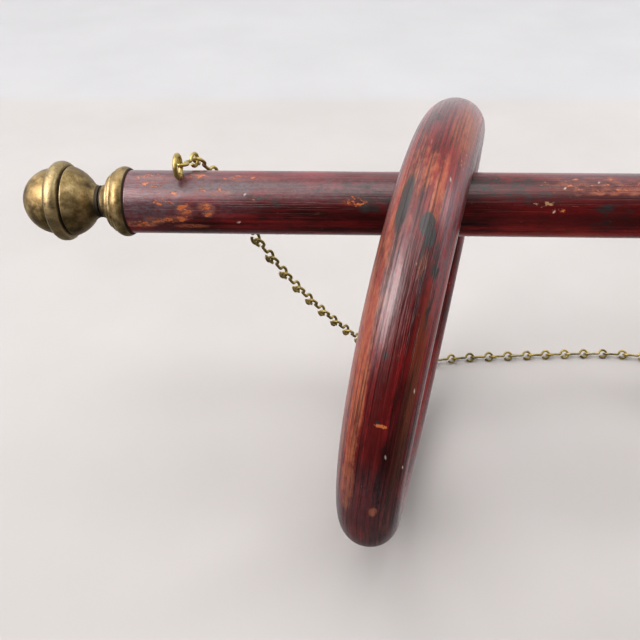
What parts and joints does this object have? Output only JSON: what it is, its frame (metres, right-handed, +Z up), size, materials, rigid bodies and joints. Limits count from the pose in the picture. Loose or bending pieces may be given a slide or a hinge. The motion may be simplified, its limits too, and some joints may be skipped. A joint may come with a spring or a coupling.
{
  "type": "hanging ring rod",
  "caption": "Turned wooden rod with brass ball finials, wooden rings hanging on it, and a light brass chain looped behind them between screw eyes.",
  "frame": {"origin": "on the rod's axis, at the middle of its length", "axes": "+X along the rod to the viewer's right, +Y to the back where the chain hangs, +Z up"},
  "size_m": [0.5488, 0.1948, 0.2001],
  "materials": {
    "rod_wood": "worn dark red lacquer",
    "ring_wood": "worn red stain with a satin lacquer",
    "turned_brass": "antique brass with a dark patina",
    "eye_brass": "tarnished brass wire",
    "chain_brass": "olive tarnished brass wire",
    "steel": "plain"
  },
  "bodies": {
    "rod": {"rod": "rod_wood", "left_collar": "turned_brass", "right_collar": "turned_brass", "left_finial": "turned_brass", "right_finial": "turned_brass", "finial_studs": "steel", "screw_eyes": "eye_brass"},
    "left_ring": {"left_ring": "ring_wood"},
    "right_ring": {"right_ring": "ring_wood"},
    "chain": {"chain_link_01": "chain_brass", "chain_link_02": "chain_brass", "chain_link_03": "chain_brass", "chain_link_04": "chain_brass", "chain_link_05": "chain_brass", "chain_link_06": "chain_brass", "chain_link_07": "chain_brass", "chain_link_08": "chain_brass", "chain_link_09": "chain_brass", "chain_link_10": "chain_brass", "chain_link_11": "chain_brass", "chain_link_12": "chain_brass", "chain_link_13": "chain_brass", "chain_link_14": "chain_brass", "chain_link_15": "chain_brass", "chain_link_16": "chain_brass", "chain_link_17": "chain_brass", "chain_link_18": "chain_brass", "chain_link_19": "chain_brass", "chain_link_20": "chain_brass", "chain_link_21": "chain_brass", "chain_link_22": "chain_brass", "chain_link_23": "chain_brass", "chain_link_24": "chain_brass", "chain_link_25": "chain_brass", "chain_link_26": "chain_brass", "chain_link_27": "chain_brass", "chain_link_28": "chain_brass", "chain_link_29": "chain_brass", "chain_link_30": "chain_brass", "chain_link_31": "chain_brass", "chain_link_32": "chain_brass", "chain_link_33": "chain_brass", "chain_link_34": "chain_brass", "chain_link_35": "chain_brass", "chain_link_36": "chain_brass", "chain_link_37": "chain_brass", "chain_link_38": "chain_brass", "chain_link_39": "chain_brass", "chain_link_40": "chain_brass", "chain_link_41": "chain_brass", "chain_link_42": "chain_brass", "chain_link_43": "chain_brass", "chain_link_44": "chain_brass", "chain_link_45": "chain_brass", "chain_link_46": "chain_brass", "chain_link_47": "chain_brass", "chain_link_48": "chain_brass", "chain_link_49": "chain_brass", "chain_link_50": "chain_brass", "chain_link_51": "chain_brass"}
  },
  "joints": [
    {"name": "left_ring_swing", "type": "hinge", "parent": "rod", "child": "left_ring", "pos_m": [0, 0, 0], "axis": [1, 0, 0], "range_deg": [-110, 0]},
    {"name": "right_ring_swing", "type": "hinge", "parent": "rod", "child": "right_ring", "pos_m": [0, 0, 0], "axis": [1, 0, 0], "range_deg": [-110, 0]},
    {"name": "chain_lift", "type": "hinge", "parent": "rod", "child": "chain", "pos_m": [0, -0.00436, 0.01747], "axis": [1, 0, 0], "range_deg": [0, 130]}
  ]
}
